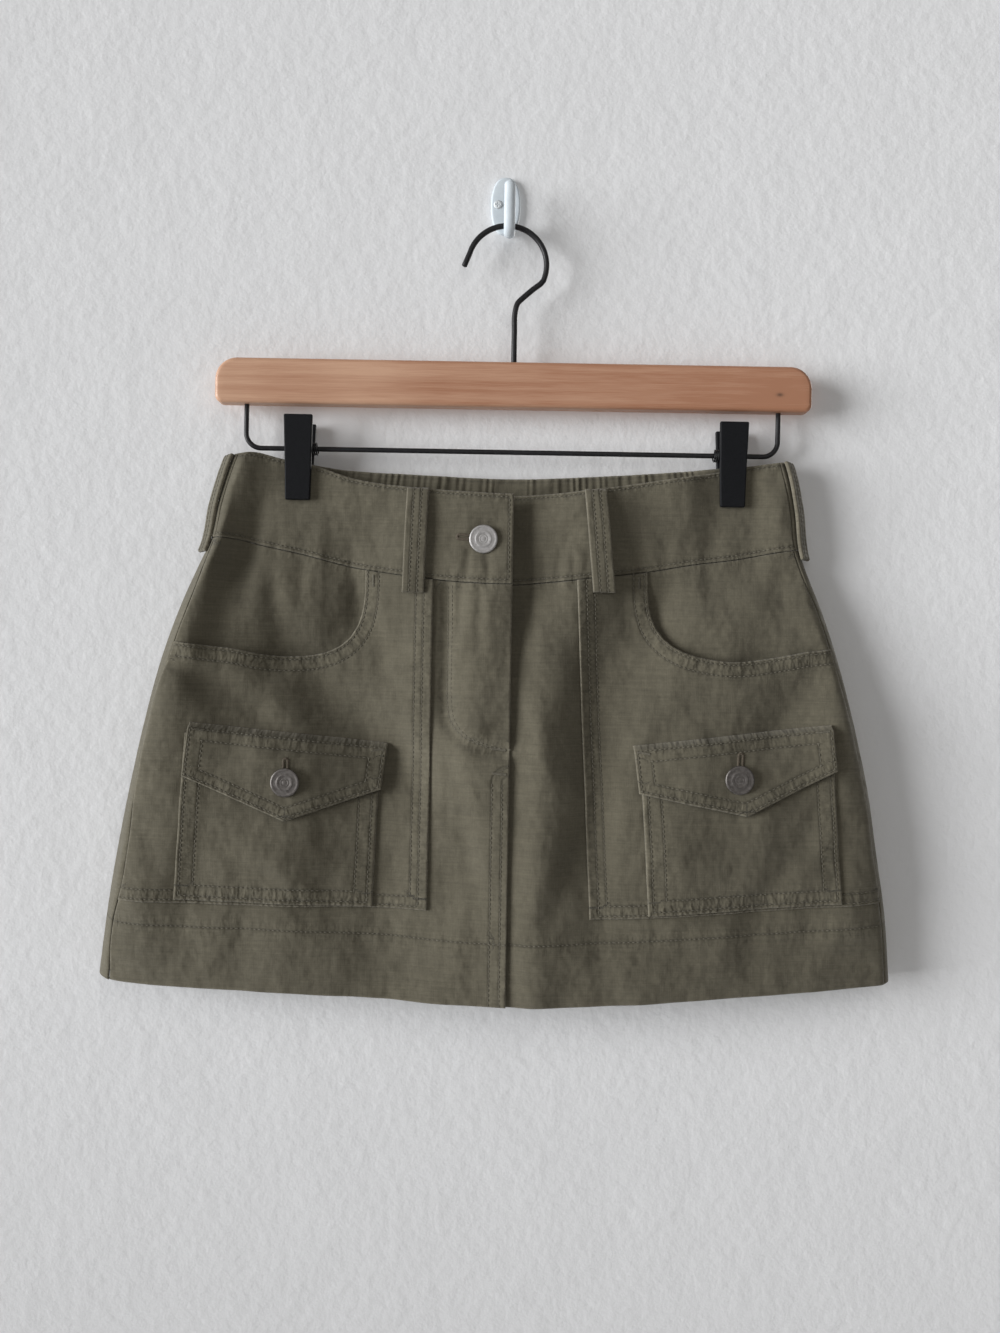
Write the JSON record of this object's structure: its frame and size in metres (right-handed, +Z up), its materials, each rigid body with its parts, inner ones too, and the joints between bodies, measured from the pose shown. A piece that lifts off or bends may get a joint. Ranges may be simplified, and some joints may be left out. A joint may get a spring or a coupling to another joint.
{
  "type": "cargo utility skirt on a clip hanger",
  "caption": "Short A-line canvas cargo skirt with utility panels and flapped pockets, clipped to a wooden hanger that hangs on a wall hook.",
  "frame": {"origin": "middle of the wall hook's back face, on the wall", "axes": "+X to the viewer's right along the hanger, +Y into the wall, +Z up"},
  "size_m": [0.4726, 0.048, 0.493],
  "materials": {
    "canvas": "matt cotton weave",
    "pewter": "satin",
    "dark_pewter": "satin",
    "beech": "satin varnish",
    "black_steel": "satin",
    "black_plastic": "matt",
    "white_plastic": "gloss",
    "steel": "satin"
  },
  "bodies": {
    "root": {"front_right_panel": "canvas", "front_left_panel": "canvas", "back_panel": "canvas", "waistband_front_right": "canvas", "waistband_front_left": "canvas", "waistband_back": "canvas", "utility_panel_right": "canvas", "utility_panel_left": "canvas", "cargo_pocket_right": "canvas", "cargo_pocket_left": "canvas", "pocket_flap_right": "canvas", "pocket_flap_left": "canvas", "belt_loop_front_right": "canvas", "belt_loop_front_left": "canvas", "belt_loop_side_right": "canvas", "belt_loop_side_left": "canvas", "belt_loop_back": "canvas", "waist_button": "pewter", "flap_button_right": "dark_pewter", "flap_button_left": "dark_pewter", "hanger_bar": "beech", "hanger_hook_wire": "black_steel", "clip_rail": "black_steel", "clip_front_jaw_right": "black_plastic", "clip_front_jaw_left": "black_plastic", "clip_back_jaw_right": "black_plastic", "clip_back_jaw_left": "black_plastic", "clip_barrel_right": "black_plastic", "clip_barrel_left": "black_plastic", "wall_hook_plate": "white_plastic", "wall_hook_arm": "white_plastic", "wall_hook_screw": "steel"}
  },
  "joints": []
}
